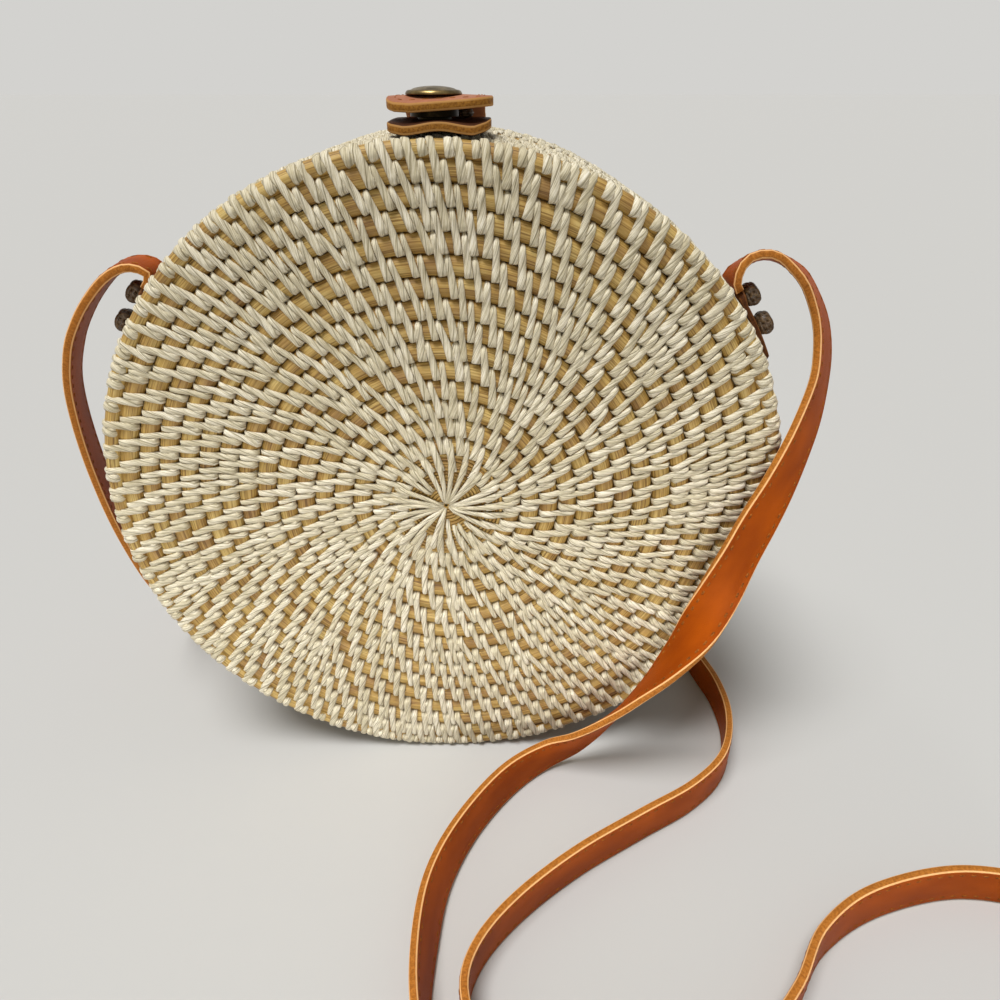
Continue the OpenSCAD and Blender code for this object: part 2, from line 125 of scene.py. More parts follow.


# The strap's route, as in the model: its middle, then the way from its front to its back edge
ROUTE = [
    [80.8, -25, 160.1, 0, 1, 0], [79.9, -25, 161.3, 0, 1, 0], [80.6, -25, 164, 0.1, 1, -0.1],
    [83.2, -25, 167, 0.3, 0.95, -0.2], [88, -25, 168.4, 0.4, 0.9, -0.2], [93, -25, 167.2, 0.45, 0.9, -0.2],
    [98, -26, 163.8, 0.5, 0.85, -0.2], [102, -26, 159, 0.5, 0.85, -0.2], [106, -27, 151, 0.55, 0.8, -0.2],
    [107.5, -29, 143, 0.6, 0.75, -0.3], [107, -32, 135, 0.6, 0.7, -0.35], [104.5, -36, 126, 0.7, 0.6, -0.4],
    [101, -40, 118, 0.75, 0.5, -0.4], [96, -44, 107, 0.85, 0.35, -0.4], [91, -47, 97, 0.95, 0.2, -0.3],
    [86, -49, 85, 0.95, 0.1, -0.2], [80.5, -50.5, 70, 0.9, -0.3, 0.1], [75, -51.5, 57.5, 0.62, -0.6, 0.45],
    [68, -52, 46, 0.38, -0.7, 0.62], [61, -52, 36, 0.12, -0.72, 0.69], [53, -51, 25, -0.1, -0.66, 0.74],
    [42.5, -50, 13.5, -0.15, -0.4, 0.9], [31, -51, 7.4, -0.15, -0.1, 1], [18, -61, 6.8, -0.25, 0, 1],
    [6, -77, 6.8, -0.35, -0.1, 1], [-2, -94, 6.8, -0.4, -0.1, 1], [-5, -111, 6.8, -0.4, -0.1, 1],
    [-5, -132, 6.8, -0.2, 0, 1],
] + lying_flat(
    (0, -150), (18, -164), (52, -171), (96, -171), (138, -165), (168, -149), (180, -125)
) + [
    [173, -106, 6.8, -0.1, 0, 1], [150, -99, 6.8, -0.2, 0, 1], [122, -104, 6.8, -0.25, 0, 1],
    [102, -115, 6.8, -0.1, 0, 1],
] + lying_flat(
    (89, -130), (74, -142), (52, -149), (28, -149), (12, -142), (6, -130), (9, -118), (20, -105),
    (38, -91), (59, -78.5), (78, -67.5), (91, -55), (97.5, -38), (98, -20), (94, 0), (92, 26), (84, 52),
    (60, 72), (16, 80), (-34, 80), (-78, 72)
) + [
    [-104, 54, 8.2, 0, 0, 1],
    [-115, 30, 18, 0.3, 0.3, 0.9], [-118, 12, 40, -0.1, 0.75, 0.65], [-119, 0, 70, -0.2, 1, 0.3],
    [-118, -8, 100, -0.2, 1, 0.2], [-114, -15, 126, -0.2, 1, 0.1], [-108, -19, 142, -0.15, 1, 0],
    [-101.5, -20.5, 152.5, -0.12, 1, 0], [-95, -20.5, 160, -0.12, 1, 0], [-90, -20.3, 164, -0.12, 1, 0],
    [-85.6, -20, 165.7, -0.12, 1, 0], [-81.8, -20, 165.4, -0.1, 1, 0.02], [-79.4, -20, 163.9, -0.05, 1, 0],
    [-79.2, -20, 162.4, 0, 1, 0], [-79.9, -20, 161.3, 0, 1, 0], [-80.8, -20, 160.1, 0, 1, 0],
]


def new_object(name, data):
    """An object in the scene."""
    obj = bpy.data.objects.new(name, data)
    bpy.context.collection.objects.link(obj)
    return obj


def aim_camera():
    """The photograph's viewing point: a little above the bag, close to it and looking down."""
    data = bpy.data.cameras.new("camera")
    data.sensor_width = 36
    data.lens = 27.04
    data.clip_start = 10 * MM
    camera = new_object("camera", data)
    camera.location = (13.5 * MM, -234.5 * MM, 208.2 * MM)
    camera.rotation_euler = (math.radians(90 - 28.76), 0, math.radians(-0.749))
    bpy.context.scene.camera = camera


def colour(code):
    """An sRGB hex code as the linear colour that a socket takes."""
    channels = [int(code[i:i + 2], 16) / 255 for i in (1, 3, 5)]
    return [c / 12.92 if c <= 0.04045 else ((c + 0.055) / 1.055) ** 2.4 for c in channels] + [1]


def connect(tree, node, inputs):
    """Sets a node's inputs, or links them to a socket."""
    for name, value in inputs.items():
        if isinstance(value, bpy.types.NodeSocket):
            tree.links.new(value, node.inputs[name])
        else:
            node.inputs[name].default_value = value


def add(tree, kind, inputs=None, ramp=None, **settings):
    """Adds a shader node with its settings, colour ramp and inputs, and returns its outputs."""
    node = tree.nodes.new("ShaderNode" + kind)
    for name, value in settings.items():
        setattr(node, name, value)
    for index, (place, code) in enumerate(ramp or []):
        stops = node.color_ramp.elements
        stop = stops[index] if index < 2 else stops.new(place)
        stop.position = place
        stop.color = colour(code)
    connect(tree, node, inputs or {})
    return node.outputs


def start_material(name):
    """A new material, its node tree and its one shader."""
    material = bpy.data.materials.new(name)
    material.use_nodes = True
    return material, material.node_tree, material.node_tree.nodes["Principled BSDF"]


def bleached_cord():
    """Bleached grass twisted in two plies: matt grey-white, fibre streaks, and painted shade in the ply
    groove.
    """
    material, tree, shader = start_material("bleached_cord")
    place = add(tree, "Attribute", attribute_name="strand")["Vector"]
    along, across, seed = add(tree, "SeparateXYZ", {0: place})[:3]
    # A ply turns once in 13 mm, so its grooves cross the strand every 6.5 mm
    turns = add(tree, "Math", {0: along, 1: 1 / PLY, 2: seed}, operation="MULTIPLY_ADD")[0]
    phase = add(tree, "Math", {0: across, 1: -PLY_SLANT, 2: turns}, operation="MULTIPLY_ADD")[0]
    fold = add(tree, "Math", {0: phase, 1: 0.5}, operation="PINGPONG")[0]
    ply = add(tree, "MapRange", {0: fold, 1: 0.0, 2: 0.15, 3: 0.0, 4: 1.0},
              interpolation_type="SMOOTHSTEP")[0]
    # Fibres are about 0.25 mm apart and follow the twist
    fibre_place = add(tree, "CombineXYZ", {
        0: add(tree, "Math", {0: seed, 1: 40.0}, operation="MULTIPLY")[0],
        1: add(tree, "Math", {0: phase, 1: 12.0}, operation="MULTIPLY")[0],
        2: add(tree, "Math", {0: along, 1: 0.25}, operation="MULTIPLY")[0]})[0]
    fibres = add(tree, "TexNoise", {"Vector": fibre_place, "Scale": 1.0, "Detail": 3.0,
                                    "Roughness": 0.65})["Fac"]
    tone = add(tree, "ValToRGB", {0: seed}, ramp=[(0.0, "#E4DAC0"), (1.0, "#FAF2DF"), (0.5, "#F0E7D0")])[0]
    lines = add(tree, "ValToRGB", {0: fibres},
                ramp=[(0.32, "#968C70"), (0.62, "#FFFFFF"), (0.48, "#DCD7C4")])[0]
    cord = add(tree, "Mix", {0: 0.85, 6: tone, 7: lines}, data_type="RGBA", blend_type="MULTIPLY")[2]
    # The groove between plies is darkened in the colour: painted shade, on top of the groove's bump
    dark = add(tree, "ValToRGB", {0: ply}, ramp=[(0.0, "#9A927C"), (0.85, "#FFFFFF")])[0]
    shaded_in_grooves = add(tree, "Mix", {0: 0.7, 6: cord, 7: dark}, data_type="RGBA", blend_type="MULTIPLY")[2]
    height = add(tree, "Math", {0: fibres, 1: 0.7, 2: ply}, operation="MULTIPLY_ADD")[0]
    bump = add(tree, "Bump", {"Strength": 0.7, "Distance": 0.11 * MM, "Height": height})[0]
    connect(tree, shader, {"Base Color": shaded_in_grooves, "Normal": bump, "Roughness": 0.62,
                           "Specular IOR Level": 0.3, "Sheen Weight": 0.15, "Sheen Roughness": 0.5})
    return material


def bare_rush():
    """Bundled rush of the coil: dull ochre, with sharp stalk lines along the coil and brown patches."""
    material, tree, shader = start_material("bare_rush")
    place = add(tree, "Attribute", attribute_name="coil")["Vector"]
    # Stalks are about 0.4 mm wide and run on for tens of millimetres
    stalk_place = add(tree, "Mapping", {"Vector": place, "Scale": (0.04, 0.04, 2.6)})[0]
    stalks = add(tree, "TexNoise", {"Vector": stalk_place, "Scale": 1.0, "Detail": 3.0,
                                    "Roughness": 0.7})["Fac"]
    patch_place = add(tree, "Mapping", {"Vector": place, "Scale": (0.09, 0.09, 0.16)})[0]
    patches = add(tree, "TexNoise", {"Vector": patch_place, "Scale": 1.0, "Detail": 2.0})["Fac"]
    body = add(tree, "ValToRGB", {0: patches},
               ramp=[(0.3, "#A88450"), (0.72, "#DAC07C"), (0.5, "#C4A25C")])[0]
    lines = add(tree, "ValToRGB", {0: stalks},
                ramp=[(0.36, "#8A7045"), (0.6, "#FFFFFF"), (0.48, "#DCCFAE")])[0]
    rush = add(tree, "Mix", {0: 0.85, 6: body, 7: lines}, data_type="RGBA", blend_type="MULTIPLY")[2]
    bump = add(tree, "Bump", {"Strength": 0.7, "Distance": 0.2 * MM, "Height": stalks})[0]
    connect(tree, shader, {"Base Color": rush, "Normal": bump, "Roughness": 0.5, "Specular IOR Level": 0.4})
    return material


# pale is the colour of the painted highlight along each cut corner of the edges
def tan_leather(name="tan_leather", face="#A84C02", deep="#8E3C00", raw="#B8742E", raw_deep="#92561E",
                pale="#EDB87C"):
    """Vegetable tanned cowhide: warm brown faces with pores and a soft gloss, and paler raw edges."""
    material, tree, shader = start_material(name)
    place = add(tree, "Attribute", attribute_name="hide")["Vector"]
    layer = add(tree, "SeparateXYZ", {0: place})[2]
    cloud_place = add(tree, "Mapping", {"Vector": place, "Scale": (0.12, 0.05, 1.0)})[0]
    clouds = add(tree, "TexNoise", {"Vector": cloud_place, "Scale": 1.0, "Detail": 4.0})["Fac"]
    # Pores of the grain side are about 0.5 mm apart
    pores = add(tree, "TexVoronoi", {"Vector": place, "Scale": 2.2, "Randomness": 1.0},
                feature="DISTANCE_TO_EDGE")["Distance"]
    pits = add(tree, "MapRange", {0: pores, 1: 0.0, 2: 0.12, 3: 0.0, 4: 1.0})[0]
    skin_tone = add(tree, "ValToRGB", {0: clouds}, ramp=[(0.32, deep), (0.66, face)])[0]
    fibre = add(tree, "TexNoise", {"Vector": place, "Scale": 1.8, "Detail": 4.0, "Roughness": 0.7})["Fac"]
    raw_tone = add(tree, "ValToRGB", {0: fibre}, ramp=[(0.36, raw_deep), (0.6, raw)])[0]
    depth = add(tree, "Math", {0: layer}, operation="ABSOLUTE")[0]
    on_edge = add(tree, "MapRange", {0: depth, 1: 0.86, 2: 0.97, 3: 1.0, 4: 0.0})[0]
    # Each cut corner gets a thin pale line: a painted highlight along the corner
    line = add(tree, "MapRange", {0: depth, 1: 0.46, 2: 0.58, 3: 0.0, 4: 1.0})[0]
    painted_corner_highlight = add(tree, "Math", {0: line, 1: on_edge}, operation="MULTIPLY")[0]
    hide = add(tree, "Mix", {0: on_edge, 6: skin_tone, 7: raw_tone}, data_type="RGBA")[2]
    edged = add(tree, "Mix", {0: painted_corner_highlight, 6: hide, 7: colour(pale)}, data_type="RGBA")[2]
    height = add(tree, "Math", {0: pits, 1: 0.6, 2: clouds}, operation="MULTIPLY_ADD")[0]
    bump = add(tree, "Bump", {"Strength": 0.35, "Distance": 0.12 * MM, "Height": height})[0]
    connect(tree, shader, {"Base Color": edged, "Normal": bump, "Roughness": 0.5, "Specular IOR Level": 0.09})
    return material


def waxed_thread():
    """Waxed linen thread: golden brown stitches with a slight shine and a fine twist."""
    material, tree, shader = start_material("waxed_thread")
    place = add(tree, "TexCoord")["Object"]
    twist = add(tree, "TexNoise", {"Vector": place, "Scale": 1400.0, "Detail": 2.0})["Fac"]
    tone = add(tree, "ValToRGB", {0: twist}, ramp=[(0.35, "#6E3A10"), (0.65, "#9E5A1C")])[0]
    connect(tree, shader, {"Base Color": tone, "Roughness": 0.55, "Specular IOR Level": 0.12})
    return material


def smoked_reed():
    """Smoked reed of the knots: dark brown and hard, with pale tan patches of painted highlight."""
    material, tree, shader = start_material("smoked_reed")
    place = add(tree, "TexCoord")["Object"]
    grain = add(tree, "TexNoise", {"Vector": place, "Scale": 1100.0, "Detail": 4.0, "Roughness": 0.7})["Fac"]
    # The pale end of the ramp, scattered by the noise, is painted highlight
    tone = add(tree, "ValToRGB", {0: grain}, ramp=[(0.3, "#3B2C1E"), (0.72, "#8C7048"), (0.5, "#5A4630")])[0]
    bump = add(tree, "Bump", {"Strength": 0.5, "Distance": 0.15 * MM, "Height": grain})[0]
    connect(tree, shader, {"Base Color": tone, "Normal": bump, "Roughness": 0.4, "Specular IOR Level": 0.5})
    return material


def antique_brass(name="antique_brass", dark="#463B27", middle="#6B5B3A", bright="#A08757"):
    """Antiqued brass, stamped and tumbled: olive brown patina, brighter where hands rub it."""
    material, tree, shader = start_material(name)
    place = add(tree, "TexCoord")["Object"]
    patina = add(tree, "TexNoise", {"Vector": place, "Scale": 260.0, "Detail": 5.0, "Roughness": 0.65})["Fac"]
    tone = add(tree, "ValToRGB", {0: patina}, ramp=[(0.32, dark), (0.74, bright), (0.52, middle)])[0]
    rough = add(tree, "MapRange", {0: patina, 1: 0.3, 2: 0.7, 3: 0.5, 4: 0.28})[0]
    connect(tree, shader, {"Base Color": tone, "Roughness": rough, "Metallic": 1.0})
    return material


def lining_cotton():
    """Plain woven cotton lining: ecru, matt, with a visible thread grid."""
    material, tree, shader = start_material("lining_cotton")
    place = add(tree, "TexCoord")["Object"]
    # Threads are drawn 1 mm apart, about three times as coarse as real ones, so that they show
    thread_pitch = 1.0 * MM
    wave_length = math.pi / 10
    threads = [add(tree, "TexWave", {"Vector": place, "Scale": wave_length / thread_pitch, "Distortion": 0.6,
                                     "Detail": 1.0}, bands_direction=way)["Fac"] for way in ("X", "Z")]
    weave = add(tree, "Math", {0: threads[0], 1: threads[1]}, operation="ADD")[0]
    tone = add(tree, "ValToRGB", {0: weave}, ramp=[(0.3, "#C9B893"), (1.0, "#E2D6BA")])[0]
    bump = add(tree, "Bump", {"Strength": 0.3, "Distance": 0.15 * MM, "Height": weave})[0]
    connect(tree, shader, {"Base Color": tone, "Normal": bump, "Roughness": 0.9, "Sheen Weight": 0.3})
    return material


def finish_piece(name, mesh, material, body=None, nodes=()):
    """Makes a smooth object of a mesh. It rides on a body and stands for the CAD nodes that it replaces."""
    obj = new_object(name, mesh)
    mesh.materials.append(material)
    mesh.shade_smooth()
    if body:
        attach(obj, body)
    if nodes:
        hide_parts(*nodes)
    return obj


def to_mesh(name, bm, outwards=False):
    """Ends a bmesh as a mesh, with its faces turned outwards where asked."""
    if outwards:
        bmesh.ops.recalc_face_normals(bm, faces=bm.faces)
    mesh = bpy.data.meshes.new(name)
    bm.to_mesh(mesh)
    bm.free()
    return mesh


def get_points(mesh):
    """A mesh's points as an array of x, y and z."""
    points = np.empty(len(mesh.vertices) * 3)
    mesh.vertices.foreach_get("co", points)
    return points.reshape(-1, 3)


def set_points(mesh, points):
    """Moves a mesh's points."""
    mesh.vertices.foreach_set("co", points.reshape(-1))
    mesh.update()


def set_attribute(mesh, name, values):
    """Keeps three numbers a point, which a material reads by the attribute's name."""
    layer = mesh.attributes.new(name, "FLOAT_VECTOR", "POINT")
    layer.data.foreach_set("vector", values.reshape(-1).astype(np.float32))


def cord_blank(sides, cuts, closed=True):
    """A short cord of unit radius along Z, from -1 to 1, in cuts + 1 lengths, with closed or open ends."""
    bm = bmesh.new()
    bmesh.ops.create_cone(bm, cap_ends=closed, segments=sides, radius1=1, radius2=1, depth=2)
    long_edges = [e for e in bm.edges if abs(e.verts[0].co.z - e.verts[1].co.z) > 1]
    bmesh.ops.subdivide_edges(bm, edges=long_edges, cuts=cuts, use_grid_fill=True)
    return to_mesh("cord_blank", bm)


def repeat(name, blank, count):
    """One mesh of many copies of a blank, and their points as a (copy, point, xyz) array."""
    bm = bmesh.new()
    block = blank.copy()
    left = count
    while left:
        if left % 2:
            bm.from_mesh(block)
        left //= 2
        if left:
            block = join_meshes("block", [block, block])
    mesh = to_mesh(name, bm)
    return mesh, get_points(mesh).reshape(count, -1, 3)


def round_axis(radius, turn, y, sideways=0):
    """Places at a radius and a turn from the crown round the bag's axis, moved sideways along the turn."""
    x = radius * np.sin(turn) + sideways * np.cos(turn)
    z = AXIS_Z + radius * np.cos(turn) - sideways * np.sin(turn)
    return x, y, z


def press_flat(z):
    """The foot is pressed against the table: heights below 2 mm are squeezed and stay above it."""
    soft = 2 * MM
    firmness = 1.15
    squeezed = firmness * soft * np.exp((np.minimum(z, soft) - soft) / (firmness * soft))
    return np.where(z < soft, squeezed - (firmness - 1) * soft, z)


def skin(s):
    """Radius, depth and outward normal of the coil's crest at a way s from the face's middle."""
    first = np.clip((s - FACE_FLAT) / CORNER, 0, math.pi / 2)
    wall = np.clip(s - FACE_FLAT - QUARTER, 0, WALL_FLAT)
    second = np.clip((s - FACE_FLAT - QUARTER - WALL_FLAT) / CORNER, 0, math.pi / 2)
    past = np.maximum(s - FACE_FLAT - 2 * QUARTER - WALL_FLAT, 0)
    radius = np.minimum(s, FACE_FLAT) + CORNER * np.sin(first) - CORNER * (1 - np.cos(second)) - past
    depth = CREST_D - CORNER * (1 - np.cos(first)) - wall - CORNER * np.sin(second)
    return radius, depth, np.sin(first + second), np.cos(first + second)


def lean(turn, s):
    """How far a strand leans from the radius, in radians. It lies almost straight at the lower right."""
    usual, steeper, straighter, drift = 12.0, 3.0, 9.0, 2.0
    lower_right, spread = 2.5, 0.14
    near_middle = np.clip(1 - s / (40 * MM), 0, 1)
    there = np.exp((np.cos(turn - lower_right) - 1) / spread) * (1 - near_middle)
    wander = np.sin(5 * turn + s / (11 * MM))
    return np.radians(usual + steeper * near_middle + drift * wander - straighter * there)


def lay_strands(rng):
    """Lays the strands row by row from the spokes out to the seam.

    Each strand lies over its own row and the next row inwards. Its inner half lies against the strand of
    that row, on the counter-clockwise side, and new strands go where the gap between two grows too wide.
    Returns, for each strand, its row, outer way and turn, inner way and turn, and the pitch there.
    """
    laid = []
    spots = (np.arange(SPOKES) + rng.normal(0, 0.12, SPOKES)) * math.tau / SPOKES
    for row in range(SPOKE_ROW + 1, len(ROW_EDGES) - 1):
        outer, middle, inner = ROW_EDGES[row + 1], ROW_EDGES[row], ROW_EDGES[row - 1]
        own_r = skin((outer + middle) / 2)[0]
        next_r = skin((middle + inner) / 2)[0]
        pitch = math.tau * next_r / len(spots)
        beside = min(BESIDE_SHARE * pitch, BESIDE)
        feet = spots - beside / next_r
        step = np.tan(lean(np.mod(feet + math.pi, math.tau) - math.pi, middle)) * ROW_W
        heads = feet - step / skin(middle)[0]
        wanted = max(SPOKES, round(math.tau * own_r / PITCH))
        while len(heads) < wanted and row <= RIM_ROW:
            gaps = np.diff(np.append(heads, heads[0] + math.tau))
            at = int(np.argmax(gaps))
            heads = np.insert(heads, at + 1, heads[at] + gaps[at] / 2)
            foot_gap = np.diff(np.append(feet, feet[0] + math.tau))[at]
            feet = np.insert(feet, at + 1, feet[at] + foot_gap / 2)
        # Heads that lie close together are spread a little, and then each strays a little
        for _ in range(SPREADS):
            ring = np.concatenate([[heads[-1] - math.tau], heads, [heads[0] + math.tau]])
            heads = heads + SPREAD_SHARE * ((ring[:-2] + ring[2:]) / 2 - heads)
        heads = heads + rng.normal(0, HEAD_STRAY, len(heads)) / own_r
        half = (feet - heads) / 2
        pitch = math.tau * own_r / len(heads)
        for head, foot, bend in zip(heads, feet, half):
            laid.append((row, outer, head - bend, inner, foot + bend, pitch))
        spots = heads
    return np.array(laid)


def wind_strands(name, blank, strands, side, rng):
    """Winds one cord blank along each strand of the list, onto the front or the back shell."""
    row, outer, head, inner, foot, pitch = strands.T[:, :, None]
    mesh, points = repeat(name, blank, len(strands))
    across, up, span = points[:, :, 0], points[:, :, 1], (1 - points[:, :, 2]) / 2
    seed = rng.random((len(strands), 1))
    swell = rng.normal(1, WIDTH_STRAY, (len(strands), 1))
    # The lengths are shorter at both ends, where the strand dives into the groove
    u = span - 0.5 * np.sin(math.tau * span) / math.tau
    length = outer - inner
    from_head, from_foot = u * length, (1 - u) * length
    # Where strands crowd, their width is a share of the pitch
    rim = np.clip(1 - np.abs(row - RIM_ROW - 0.3) / 1.6, 0, 1)
    narrow = np.minimum(STRAND_NARROW + RIM_NARROW * rim, 0.5 * pitch)
    wide = np.minimum(STRAND_WIDE + RIM_WIDE * rim, 0.58 * pitch)
    width = (narrow + (wide - narrow) * u) * swell
    tip_length, tip_dive = 1.3 * MM, 2.0 * MM
    toe_length, toe_dive = 0.9 * MM, 1.7 * MM
    tip = 1 - np.minimum(from_head / tip_length, 1)
    toe = 1 - np.minimum(from_foot / toe_length, 1)
    width = width * (1 - 0.4 * tip ** 2) * (1 + 0.04 * toe)
    sunk = 0.3 * MM
    lift = STRAND_T / 2 - sunk - tip_dive * tip ** 2 - toe_dive * toe ** 2
    middle = np.array(ROW_EDGES)[row.astype(int)]
    way = outer + (inner - outer) * u
    # It dips into the groove between its two rows
    dip, dip_width = 0.45 * MM, 1.5 * MM
    lift = lift - dip * np.exp(-((way - middle) / dip_width) ** 2)
    lift = lift + rng.normal(0, HEIGHT_STRAY, (len(strands), 1))
    along = (way - middle) / MM
    ply = np.abs(np.mod(along / PLY - across * PLY_SLANT + seed + 0.5, 1) - 0.5)
    round_up = 1 - 0.15 * np.exp(-(ply / 0.12) ** 2)
    turn = head + (foot - head) * u
    slant = np.arctan2((foot - head) * skin(middle)[0], length)
    off = across * width / 2
    radius, depth, out_r, out_d = skin(way + off * np.sin(slant))
    height = lift + up * STRAND_T / 2 * np.where(up > 0, round_up, 1)
    depth = depth + out_d * height
    x, y, z = round_axis(radius + out_r * height, turn, side * depth, off * np.cos(slant))
    set_points(mesh, np.stack([x, y, press_flat(z)], axis=2))
    set_attribute(mesh, "strand", np.stack([along, across, seed + 0 * u], axis=2))
    face_outwards(mesh)
    return mesh


def face_outwards(mesh, seal=False):
    """Turns a mesh's faces outwards. To seal it, what meets is merged and what is open is closed first."""
    bm = bmesh.new()
    bm.from_mesh(mesh)
    if seal:
        bmesh.ops.remove_doubles(bm, verts=bm.verts, dist=MERGE)
        bmesh.ops.holes_fill(bm, edges=[e for e in bm.edges if e.is_boundary], sides=0)
    bmesh.ops.recalc_face_normals(bm, faces=bm.faces)
    bm.to_mesh(mesh)
    bm.free()


def wind_spokes(name, blank, side, rng):
    """The first strands of the coil. Most meet round the small hole in the middle, the others end sooner."""
    count = SPOKES
    turns = (np.arange(count) + rng.normal(0, 0.2, count)) * math.tau / count
    ends = np.full(count, ROW_EDGES[SPOKE_ROW + 1]) + rng.normal(0, 0.8 * MM, count)
    ends[rng.choice(count, 7, replace=False)] += 0.8 * ROW_W
    hole_r = 0.75 * MM
    starts = np.full(count, hole_r)
    starts[rng.choice(count, 6, replace=False)] += rng.uniform(3 * MM, 7 * MM, 6)
    mesh, points = repeat(name, blank, count)
    across, up, u = points[:, :, 0], points[:, :, 1], (1 - points[:, :, 2]) / 2
    seed = rng.random((count, 1))
    stack = rng.random((count, 1)) * 0.35 * MM
    ends, starts = ends[:, None], starts[:, None]
    radius = ends + (starts - ends) * u
    width = np.minimum(1.9 * MM, 0.85 * MM + 0.07 * radius)
    tip_length, tip_dive = 1.4 * MM, 1.6 * MM
    toe_length, toe_dive = 2.2 * MM, 1.3 * MM
    tip = 1 - np.minimum((ends - radius) / tip_length, 1)
    toe = 1 - np.minimum((radius - starts) / toe_length, 1)
    thick, sunk = 0.9 * MM, 0.2 * MM
    height = thick / 2 + stack - tip_dive * tip ** 2 - toe_dive * toe ** 2 + up * thick / 2
    turn = turns[:, None] - 0.12 * (radius / (16 * MM))
    sideways = across * width / 2 * (1 - 0.35 * tip ** 2)
    y = side * (CREST_D - sunk + height)
    set_points(mesh, np.stack(round_axis(radius, turn, y, sideways), axis=2))
    set_attribute(mesh, "strand", np.stack([radius / MM, across, seed + 0 * u], axis=2))
    face_outwards(mesh)
    return mesh


def turn_row(bm, row, side):
    """Turns one coil row, an oval bundle, once round the bag's axis. Returns its coil places in millimetres.

    A place is x and z, which change slowly along the row, and the way round the bundle from its top.
    """
    radius, depth, half_r, half_d, top, sides = row
    first = len(bm.verts)
    ring = bmesh.ops.create_circle(bm, segments=sides, radius=1)["verts"]
    for vert in ring:
        vert.co = Vector((radius + vert.co.x * half_r, side * (depth + vert.co.y * half_d), AXIS_Z))
    edges = list({e for v in ring for e in v.link_edges})
    step, fewest, most = 3.4 * MM, 24, 176
    steps = max(fewest, min(most, round(math.tau * radius / step)))
    bmesh.ops.spin(bm, geom=ring + edges, cent=(0, 0, AXIS_Z), axis=(0, 1, 0), angle=math.tau,
                   steps=steps, use_merge=True)
    bm.verts.ensure_lookup_table()
    points = np.array([v.co[:] for v in bm.verts[first:]])
    out_r = (np.hypot(points[:, 0], points[:, 2] - AXIS_Z) - radius) / half_r
    out_d = (np.abs(points[:, 1]) - depth) / half_d
    from_top = np.arctan2(out_r * math.cos(top) - out_d * math.sin(top),
                          out_r * math.sin(top) + out_d * math.cos(top))
    around = from_top * (half_r + half_d) / 2 + 7 * (radius + depth)
    return np.stack([points[:, 0], points[:, 2], around], axis=1) / MM


def wind_coil(name, rows, side):
    """Winds the coil rows of one node, with the places that the rush pattern follows."""
    bm = bmesh.new()
    places = np.vstack([turn_row(bm, row, side) for row in rows])
    mesh = to_mesh(name, bm, outwards=True)
    set_attribute(mesh, "coil", places)
    points = get_points(mesh)
    points[:, 2] = press_flat(points[:, 2])
    set_points(mesh, points)
    return mesh


def smooth_route():
    """Even points along one smooth curve through the route's points, in metres."""
    given = np.array(ROUTE, float)
    given[:, :3] *= MM
    given = np.vstack([2 * given[0] - given[1], given, 2 * given[-1] - given[-2]])
    fine = []
    for before, start, end, after in zip(given[:-3], given[1:-2], given[2:-1], given[3:]):
        for t in np.linspace(0, 1, 16, endpoint=False):
            fine.append(0.5 * (2 * start + (end - before) * t
                               + (2 * before - 5 * start + 4 * end - after) * t ** 2
                               + (3 * start - before - 3 * end + after) * t ** 3))
    fine.append(given[-2])
    fine = np.array(fine)
    way = np.append(0, np.cumsum(np.linalg.norm(np.diff(fine[:, :3], axis=0), axis=1)))
    even = np.linspace(0, way[-1], round(way[-1] / ROUTE_STEP) + 1)
    return even, np.stack([np.interp(even, way, fine[:, i]) for i in range(6)], axis=1)


class StrapFrames:
    """Frames along the strap: a point is found from its way along, its place across and its height."""

    def __init__(self):
        self.way, route = smooth_route()
        self.middle = route[:, :3]
        along = np.gradient(self.middle, axis=0)
        along /= np.linalg.norm(along, axis=1)[:, None]
        across = route[:, 3:]
        across = across - (across * along).sum(axis=1)[:, None] * along
        self.across = across / np.linalg.norm(across, axis=1)[:, None]
        self.up = np.cross(along, self.across)

    def at(self, along, across, up):
        def pick(table):
            return np.stack([np.interp(along, self.way, table[:, i]) for i in range(3)], axis=-1)
        return pick(self.middle) + across[..., None] * pick(self.across) + up[..., None] * pick(self.up)


def cut_leather(width, length, corner, thickness, steps_across, steps_along):
    """A flat piece of leather with rounded corners, from y 0 to its length, and rounded edges.

    Its attribute hide keeps the flat place in millimetres, and the layer from -1 below to 1 above.
    """
    bm = bmesh.new()
    bmesh.ops.create_grid(bm, x_segments=steps_across, y_segments=steps_along, size=1)
    for vert in bm.verts:
        y = (vert.co.y + 1) / 2 * length
        to_end = min(y, length - y)
        inset = 0
        if to_end < corner:
            inset = corner - math.sqrt(max(corner ** 2 - (corner - to_end) ** 2, 0))
        vert.co = Vector((vert.co.x * (width / 2 - inset), y, 0))
    extruded = bmesh.ops.extrude_face_region(bm, geom=bm.faces[:], use_keep_orig=True)["geom"]
    top = [v for v in extruded if isinstance(v, bmesh.types.BMVert)]
    bmesh.ops.translate(bm, verts=bm.verts, vec=(0, 0, -thickness / 2))
    bmesh.ops.translate(bm, verts=top, vec=(0, 0, thickness))
    bmesh.ops.recalc_face_normals(bm, faces=bm.faces)
    sharp_angle = 1.2
    sharp = [e for e in bm.edges if len(e.link_faces) == 2 and e.calc_face_angle(0) > sharp_angle
             and abs(e.verts[0].co.z - e.verts[1].co.z) < 0.1 * thickness]
    bmesh.ops.bevel(bm, geom=sharp, offset=0.16 * thickness, offset_type="OFFSET", segments=2,
                    profile=0.5, affect="EDGES", material=-1)
    mesh = to_mesh("leather", bm)
    points = get_points(mesh)
    set_attribute(mesh, "hide", points / MM * [1, 1, 0] + points * [0, 0, 2 / thickness])
    return mesh


def bend(mesh, shape):
    """Bends a flat piece: shape takes its x, y and z and gives the points in the bag's frame."""
    points = get_points(mesh)
    set_points(mesh, shape(points[:, 0], points[:, 1], points[:, 2]))
    face_outwards(mesh)


